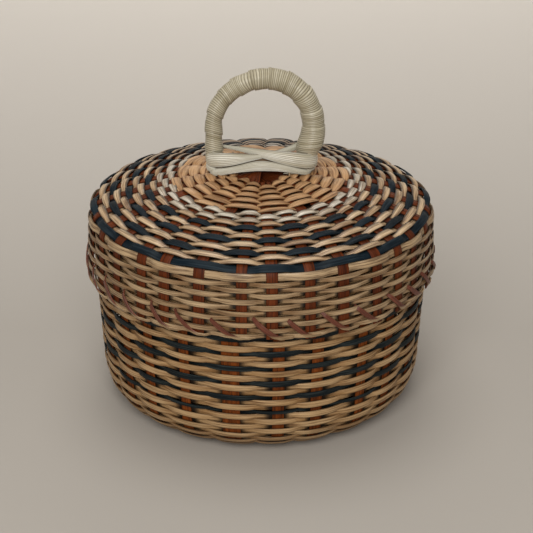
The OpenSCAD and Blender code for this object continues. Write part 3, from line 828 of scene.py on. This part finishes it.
# Rim of the basket: two half-round hoops, bound with a strip
hoop_face = stake_t / 2 + bind_gap
hoop_sway = 0.03
hoop_turn = np.linspace(0, 2 * np.pi, 240, endpoint=False) + np.pi
arc = np.linspace(-1.38, 1.38, 9)
bow = np.stack([np.sin(arc) * hoop_r, np.cos(arc) * hoop_r * 0.98 - hoop_face], -1)
back = np.array([[1.3, 0.0], [0.4, 0.0], [-0.5, 0.0], [-1.3, 0.0], [-1.7, 0.05]])
half_round = np.concatenate([bow[::-1], back[::-1]])
for side, name in ((-1, "base_rim_inner_hoop"), (1, "base_rim_outer_hoop")):
    path = around(mouth_r + side * hoop_face + wander(hoop_turn, hoop_sway), hoop_turn, rim_z)
    across = around(0, hoop_turn, float(side))
    strips = Strips()
    hand = path if side > 0 else path[::-1]
    lead = across if side > 0 else -across[::-1]
    strips.add(hand, lead, 1.0, 1.0, half_round, closed=True, tone=1.0)
    strips.piece(name, cane_finish, "basket")

lash_steps = 22
lash_start = np.radians(base_phase + 180 / base_stakes)
lash_turn = np.arange(lash_turns * lash_steps) / lash_steps
lash_at = lash_start + 2 * np.pi * lash_turn / lash_turns + np.pi
lash_round = 2 * np.pi * lash_turn
lash_reach = lash_r + 0.05 * np.sin(3 * lash_at)
path = around(
    mouth_r + lash_reach * np.sin(lash_round), lash_at, rim_z - lash_reach * np.cos(lash_round)
)
strips = Strips()
strips.add(path, flank(lash_at), lash_w / 2, lash_t / 2, flat_strip, closed=True, tone=1.0)
strips.piece("base_rim_lashing", cane_finish, "basket")

# Widths of the lid's rows
hub_row_w = 4.7
last_hub_row_w = 4.1
cream_row_w = 3.1
top_row_w = 3.2
shoulder_blue_w = 3.5
shoulder_tan_w = 3.4
side_row_w = 2.25

# Top of the lid: broad rows over pairs of splints; the innermost one leaves the front open
open_row = (32, 313)
lid_hub_rows = 10
lid_hub_start = 13.2
lid_hub_pitch = (lid_hub_end - lid_hub_start) / lid_hub_rows
strips = Strips()
for i in range(-1, lid_hub_rows):
    s = lid_hub_start + (i + 0.5) * lid_hub_pitch
    row_w = hub_row_w if i < lid_hub_rows - 1 else last_hub_row_w
    weave_row(
        strips, lid_profile, s, row_w, pair_turns(lid_turns(s)), i + 1,
        reach=1.15, thick=0.6, snap=1.3, per_gap=22, tilt=-0.16,
        narrow=0.6, tuck=0.9, back=0.9, span=open_row if i < 0 else None,
    )
strips.piece("lid_hub_weavers", lit_hub_finish, "lid")


def lid_row(strips, s, width, parity, **how):
    """Row over every other splint of the lid, at length s from its middle."""
    weave_row(strips, lid_profile, s, width, lid_turns(lid_profile(s)[0]), parity, **how)


# Cream rows, then tan and dark rows
for i in range(lid_cream_rows):
    strips = Strips()
    s = lid_hub_end + (i + 0.5) * lid_cream_pitch
    lid_row(strips, s, cream_row_w, i + 1, reach=1.1, narrow=0.7, back=1.0)
    strips.piece(f"lid_cream_weaver_{i + 1}", cream_finish, "lid")


def top_row(strips, i):
    """Row i of the lid's outer top, from the cream rows out."""
    s = lid_cream_end + (i + 0.5) * lid_top_pitch
    lid_row(strips, s, top_row_w, i, reach=1.2, narrow=0.76, back=0.9)


for i in range(1, 4):
    strips = Strips()
    top_row(strips, 3 * i - 2)
    strips.piece(f"lid_blue_weaver_{i}", blue_finish, "lid")
for i, rows in enumerate(((0,), (2, 3), (5, 6), (8, 9)), 1):
    strips = Strips()
    for k in rows:
        top_row(strips, k)
    strips.piece(f"lid_tan_weavers_{i}", lit_top_finish, "lid")

# Shoulder: one broad dark band and one broad tan band
shoulder_form = {"loose": 0.6, "snap": 2.4, "narrow": 0.94, "back": 1.0, "shade_dips": False}
strips = Strips()
lid_row(strips, lid_s1 + shoulder_row / 2, shoulder_blue_w, 0, reach=0.95, **shoulder_form)
strips.piece("lid_shoulder_blue_weaver", blue_finish, "lid")
strips = Strips()
lid_row(strips, lid_s1 + 1.5 * shoulder_row, shoulder_tan_w, 1, reach=1.0, **shoulder_form)
strips.piece("lid_shoulder_tan_weaver", tan_finish, "lid")


def side_row(strips, i):
    """Row i of the lid's wall, from the shoulder down."""
    s = lid_s2 + side_drop + (i + 0.5) * lid_side_pitch
    lid_row(strips, s, side_row_w, i, narrow=0.82, back=0.9)


first_rim_row = 6
strips = Strips()
for i in range(first_rim_row):
    side_row(strips, i)
strips.piece("lid_side_weavers", tan_finish, "lid")
strips = Strips()
for i in range(first_rim_row, lid_side_rows):
    side_row(strips, i)
strips.piece("lid_rim_weavers", tan_finish, "lid")

# Border straps: out between two splints, slanting down over the last rows, then along the edge
lid_step = 2 * np.pi / lid_stakes
wall_turns = lid_turns(lid_wall_r)
strap_t = 0.48
strips = Strips()
u = np.linspace(0, 1, 40)
slant = np.clip(u / 0.68, 0, 1)
run = np.clip((u - 0.55) / 0.45, 0, 1)
for k in range(lid_stakes):
    rise = rng.uniform(8.2, 10.2)
    bow = rng.uniform(0.4, 1.2)
    start = rng.uniform(0.27, 0.4)
    foot = rng.uniform(0.98, 1.1)
    steps = start + (foot - start) * slant + rng.uniform(0.35, 0.6) * run**1.4
    turn = wall_turns[k] + lid_step * steps
    z = lid_rim_z + 0.5 + rise * (1 - slant) ** 1.15
    out = 0.1 + 1.3 * ease(0, 0.12, u) + bow * np.sin(np.pi * np.clip(u / 0.8, 0, 1)) ** 1.2
    out = out - 1.6 * ease(0.86, 1.0, u)
    path = around(lid_wall_r + out, turn, z)
    lean = 0.5 * ease(0.3, 0.7, u)
    across = around(np.sin(lean), turn, np.cos(lean))
    across = across + flank(turn) * (0.7 * (1 - ease(0.6, 0.9, u)))[:, None]
    taper = (0.7 + 0.3 * ease(0, 0.2, u)) * (1 - 0.35 * ease(0.6, 1.0, u))
    half_w = rng.uniform(0.85, 1.15) * taper
    strips.add(path, across, half_w, strap_t / 2, flat_strip, tone=ease(0.35, 0.8, u))
strips.piece("lid_rim_straps", strap_two_tone, "lid")

# Ring handle: round core, closed by a bar on the lid; its right foot is drawn in from a height down
leg_foot = bar_z + core_bend_r
foot_draw = 2.6
foot_draw_z = bar_z + 14.5
foot_draw_h = 13
left_lean = 0.7


def ring_lean(x, z):
    """How far the ring stands off its even form: top to the right, right foot drawn in."""
    top = np.clip((z - arch_z) / arch_r, 0, 1) ** 2
    right = np.clip((x / arch_r + 1) / 2, 0, 1)
    drawn_in = foot_draw * ease(0, 1, (foot_draw_z - z) / foot_draw_h)
    return top + (1 - top) * left_lean * (right - 1) - drawn_in * right


def ring_path(count):
    """Closed middle line of the ring: bar, bend, leg, arch, leg and bend."""
    bar = arch_r - core_bend_r
    corner = np.linspace(0, np.pi / 2, 12)
    arch = np.linspace(0, np.pi, 60)
    right_bend = np.stack(
        [bar + core_bend_r * np.sin(corner), leg_foot - core_bend_r * np.cos(corner)], -1
    )
    top = np.stack([arch_r * np.cos(arch), arch_z + arch_r * np.sin(arch)], -1)
    left_bend = right_bend[::-1] * [-1, 1]
    line = np.concatenate([right_bend, top, left_bend, right_bend[:1]])
    steps = np.concatenate([[0], np.cumsum(np.linalg.norm(np.diff(line, axis=0), axis=-1))])
    even = np.linspace(0, steps[-1], count, endpoint=False)
    x = np.interp(even, steps, line[:, 0])
    z = np.interp(even, steps, line[:, 1])
    return np.stack([handle_x + x + ring_lean(x, z), np.zeros_like(x), z], -1)


strips = Strips()
path = ring_path(200)
strips.add(
    path, all_along(path, FRONT), core_r, core_r, round_section(20), closed=True, tone=1.0
)
strips.piece("handle_core", cane_finish, "lid")

# Straw wound round the ring: fine strands in overlapping bands, thicker towards the right leg
wrap_foot = bar_z + 1.5
wrap_leg = arch_z - wrap_foot
wrap_length = 2 * wrap_leg + math.pi * arch_r
strand_w = 0.85
strand_depth = 0.18
band_w = (6.2, 10.0)
band_depth = 0.45
band_slant = 2.6
band_lead = 3.0
band_marks = [-band_lead]
while band_marks[-1] < wrap_length + 2 * band_lead:
    band_marks.append(band_marks[-1] + rng.uniform(*band_w))
band_marks = np.array(band_marks)
band_slants = rng.uniform(-band_slant, band_slant, len(band_marks))
wrap_u = np.linspace(0, wrap_length, 1150)
wrap_b = np.linspace(0, 2 * np.pi, 52, endpoint=False)
arch_turn = np.clip((wrap_u - wrap_leg) / arch_r, 0, math.pi)
leg_rise = np.where(
    wrap_u < wrap_leg, wrap_u - wrap_leg, np.minimum(0, wrap_leg + math.pi * arch_r - wrap_u)
)
ring_x = -np.cos(arch_turn)
ring_z = np.sin(arch_turn)
wrap_x = arch_r * ring_x
wrap_z = arch_z + arch_r * ring_z + leg_rise
middle = np.stack([handle_x + wrap_x + ring_lean(wrap_x, wrap_z), np.zeros_like(wrap_u), wrap_z], -1)
outward = np.stack([ring_x, np.zeros_like(wrap_u), ring_z], -1)
slant = np.interp(wrap_u, band_marks + band_lead, band_slants)
wound = wrap_u[:, None] + slant[:, None] * np.sin(wrap_b + 0.6) + strand_w * wrap_b / (2 * np.pi)
band = np.clip(np.searchsorted(band_marks, wound) - 1, 0, len(band_marks) - 2)
band_share = (wound - band_marks[band]) / (band_marks[band + 1] - band_marks[band])
ripple = strand_depth * np.abs(np.sin(np.pi * wound / strand_w))
step = band_depth * (1 - np.clip(band_share, 0, 1)) * ease(0, 0.05, band_share)
swell_at = wrap_length * np.array([0, 0.3, 0.5, 0.8, 0.86, 0.93, 0.985, 1])
swell = np.interp(wrap_u, swell_at, [3.25, 3.45, 4.25, 4.4, 4.5, 5.3, 4.1, 3.6])
lumps = 0.1 * np.sin(wrap_u * 0.23 + 1.0) + 0.07 * np.sin(wrap_u * 0.61)
radius = (swell + lumps)[:, None] + step + ripple
points = middle[:, None] + outward[:, None] * (radius * np.cos(wrap_b))[..., None]
points[..., 1] -= radius * np.sin(wrap_b)
marks = np.empty(points.shape)
marks[..., 0] = radius * wrap_b
marks[..., 1] = wound / strand_w
marks[..., 2] = 0.0
strips = Strips()
strips.grid(points, marks, 0.0)
strips.piece("handle_wrap", wrap_straw, "lid")


def smooth(line, times):
    """Line with its bends eased; its ends stay."""
    line = line.copy()
    for _ in range(times):
        line[1:-1] = (line[:-2] + 2 * line[1:-1] + line[2:]) / 4
    return line


def through(keys, count):
    """Smooth line of evenly spaced points by way of the keys: place, and any value beside it."""
    keys = np.array(keys, float)
    steps = np.concatenate([[0], np.cumsum(np.linalg.norm(np.diff(keys[:, :3], axis=0), axis=-1))])
    even = np.linspace(0, steps[-1], count)
    lines = [np.interp(even, steps, keys[:, c]) for c in range(keys.shape[1])]
    return smooth(np.stack(lines, -1), 40)


# Binding: straw bands in front, and the same turned round behind, lower, narrower and on the bar's back
bind_t = 0.9
bind_section = fluted(8, 0.4)
turned_scale = [-0.98, -1, 0.6, 0.65]
turned_shift = 2.6
bar_back_r = core_r + 0.8
bar_half = 19
behind_y = -3


def bind(strips, keys, turned, drop):
    """A flat band of straw along its keys; a turned one goes lower by drop, round the bar's back."""
    line = through(keys, 110)
    if turned:
        line = line * turned_scale - [turned_shift, 0, drop, 0]
        bar_back = np.sqrt(np.maximum(bar_back_r**2 - line[:, 2] ** 2, 0))
        behind = (np.abs(line[:, 0]) < bar_half) & (line[:, 1] > behind_y)
        line[:, 1] = np.where(behind, np.maximum(line[:, 1], bar_back), line[:, 1])
        line[:, 1] = smooth(line[:, 1], 12)
    path = line[:, :3] + [handle_x, 0, bar_z]
    strips.add(path, all_along(path, UP), line[:, 3], bind_t / 2, bind_section)


# Courses of the bands round both feet of the ring: place from the bar's middle, and half width
fall_keys = [
    (-21.6, 3.2, 5.9, 0.55), (-19.4, 2.6, 5.9, 0.6), (-17.0, 1.5, 5.8, 0.7), (-8.6, -1.6, 5.5, 1.25),
    (0.7, -5.0, 4.5, 2.2), (9.9, -5.9, 2.95, 3.2), (16.4, -5.9, 1.95, 3.5), (20.6, -4.7, 1.3, 3.4),
    (22.8, -1.6, 1.1, 3.3), (22.8, 1.4, 1.0, 2.9), (20.4, 4.2, 0.3, 2.2), (15.0, 4.9, -1.3, 1.3),
    (10.5, 3.6, -2.7, 0.5),
]
rise_keys = [
    (-11.0, 3.6, -2.7, 0.5), (-15.5, 4.9, -1.4, 1.3), (-20.8, 4.3, 0.2, 2.0), (-24.4, 2.2, 1.2, 2.6),
    (-25.4, -0.5, 1.5, 2.9), (-24.2, -3.4, 1.6, 3.3), (-20.0, -5.1, 1.9, 3.4), (-12.5, -5.0, 2.3, 2.9),
    (-5.3, -4.5, 2.9, 1.4), (-1.6, -4.0, 3.2, 1.1), (4.0, -3.0, 4.2, 1.1), (8.2, -2.2, 5.2, 1.2),
    (11.9, -1.0, 5.8, 1.6), (14.4, 1.0, 6.4, 1.9), (16.0, 3.2, 6.6, 1.8), (17.5, 4.6, 6.6, 1.6),
]
band_keys = [
    (-22.6, 2.0, -3.8, 1.1), (-23.6, -1.4, -3.9, 1.4), (-21.8, -4.5, -3.9, 1.9),
    (-16.8, -5.5, -2.9, 1.6), (-12.5, -5.6, -2.0, 1.5), (-3.1, -5.9, -0.2, 2.45),
    (2.5, -5.9, -0.4, 2.35), (8.2, -5.9, -1.25, 1.6), (14.0, -5.6, -2.6, 1.35),
    (17.8, -4.9, -3.7, 1.3), (19.6, -3.0, -4.0, 1.2), (20.0, 1.0, -4.0, 1.1),
]
for name, keys, drop in (
    ("handle_binding_band", band_keys, 1.4),
    ("handle_binding_rising_strap", rise_keys, 2.8),
    ("handle_binding_falling_strap", fall_keys, 2.8),
):
    strips = Strips()
    for turned in (False, True):
        bind(strips, keys, turned, drop)
    strips.piece(name, bound_straw, "lid")

# Strands that tie the bar down: over it, through the lid between two splints and back under the lid
tie_r = 0.4
tie_place_r = 13.3
tie_y = 3.92
tie_z = crown_z - tie_place_r**2 / 2 / dome_r
tie_top_z = tie_z + 1
tie_under_z = tie_z - 2.2
tie_low_z = tie_z - 3.2
bar_low_z = bar_z - core_r
diagonal = tie_y * math.cos(math.pi / 4)
for name, front, back in (("handle_tie_left", -8, -12), ("handle_tie_right", 5, 9)):
    front_x, front_y, _ = around(tie_place_r, math.radians(lid_phase) + (front + 0.5) * lid_step, 0.0)
    back_x, back_y, _ = around(tie_place_r, math.radians(lid_phase) + (back + 0.5) * lid_step, 0.0)
    x = (front_x + back_x) / 2
    path = through([
        (front_x, front_y, tie_under_z), (front_x, front_y, tie_top_z),
        (front_x, -tie_y, bar_low_z), (front_x, -tie_y, bar_z),
        (x, -diagonal, bar_z + diagonal), (x, 0, bar_z + tie_y), (x, diagonal, bar_z + diagonal),
        (back_x, tie_y, bar_z), (back_x, tie_y, bar_low_z),
        (back_x, back_y, tie_top_z), (back_x, back_y, tie_under_z),
        (x, back_y / 2, tie_low_z), (x, front_y / 2, tie_low_z),
        (front_x, front_y, tie_under_z),
    ], 90)
    strips = Strips()
    strips.add(path, all_along(path, RIGHT), tie_r, tie_r, round_section(8), tone=1.0)
    strips.piece(name, tan_finish, "lid")


# Stage, in metres: a pale floor that bends up into the backdrop, painted paler towards the backdrop as
# painted light
sweep_front = -1.6
sweep_flat = 0.9
sweep_bend = 0.6
sweep_top = 2.4
sweep_half = 2.4
paler_from = 0.05
palest_at = 0.62


def sweep_stage():
    outline = [(sweep_front, 0.0), (sweep_flat, 0.0)]
    for turn in np.linspace(0, math.pi / 2, 16)[1:]:
        outline.append((sweep_flat + sweep_bend * math.sin(turn), sweep_bend * (1 - math.cos(turn))))
    outline.append((sweep_flat + sweep_bend, sweep_top))
    points = [(x, y, z) for y, z in outline for x in (-sweep_half, sweep_half)]
    quads = [(2 * i, 2 * i + 1, 2 * i + 3, 2 * i + 2) for i in range(len(outline) - 1)]
    mesh = bpy.data.meshes.new("pale_sweep")
    mesh.from_pydata(points, [], quads)
    mesh.shade_smooth()
    work = Finish("pale_sweep")
    place = work.node("ShaderNodeNewGeometry", {}, {}, "Position")
    depth = work.node("ShaderNodeSeparateXYZ", {}, {"Vector": place}, "Y")
    # Painted light: darker in front of the basket, paler towards the backdrop
    far = work.spread(depth, paler_from, palest_at)
    ground = work.mix(far, shade(169, 163, 155), shade(222, 216, 208))
    speck = work.noise(place, 90.0, 3.0)
    mesh.materials.append(work.close(ground, 0.85, speck, 0.05, 0.1))
    thing = bpy.data.objects.new("pale_sweep", mesh)
    bpy.context.scene.collection.objects.link(thing)


sweep_stage()


def softbox(name, place, aim, size, power, sheen=True):
    """Round soft light, in metres and watts; without sheen it makes no highlights."""
    lamp = bpy.data.lights.new(name, "AREA")
    lamp.shape = "DISK"
    lamp.size = size
    lamp.energy = power
    lamp.color = (1.0, 0.98, 0.95)
    thing = bpy.data.objects.new(name, lamp)
    bpy.context.scene.collection.objects.link(thing)
    thing.location = place
    thing.visible_glossy = sheen
    to_aim = np.array(aim) - np.array(place)
    thing.rotation_euler = Vector(to_aim).to_track_quat("-Z", "Y").to_euler()


softbox("overhead_softbox", place=(-0.05, 0.16, 1.2), aim=(0, 0, 0.1), size=0.7, power=4.3)
softbox("front_softbox", place=(-0.1, -1.05, 0.82), aim=(0, 0, 0.06), size=0.9, power=12.8)
softbox("far_softbox", place=(0.0, 1.2, 1.0), aim=(0, 1.5, 0.0), size=0.8, power=4.0, sheen=False)

world = bpy.data.worlds.new("studio_air")
world.use_nodes = True
air = world.node_tree.nodes["Background"]
air.inputs["Color"].default_value = (1.0, 0.97, 0.93, 1.0)
air.inputs["Strength"].default_value = 0.3
bpy.context.scene.world = world

# Camera at the photograph's angle, with its focal length in pixels of the photograph's width
camera_target = np.array([2.4, 0.0, 55.7])
camera_rise = math.radians(25)
camera_far = 700.0
photo_width = 533
focal_length = 1600
camera = bpy.data.cameras.new("camera")
camera.sensor_width = 36.0
camera.lens = camera.sensor_width * focal_length / photo_width
camera.clip_start = 0.01
camera_thing = bpy.data.objects.new("camera", camera)
bpy.context.scene.collection.objects.link(camera_thing)
camera_thing.location = (
    camera_target + camera_far * np.array([0, -math.cos(camera_rise), math.sin(camera_rise)])
) * MM
camera_thing.rotation_euler = (math.pi / 2 - camera_rise, 0.0, 0.0)
bpy.context.scene.camera = camera_thing

bpy.context.scene.view_settings.view_transform = "Standard"
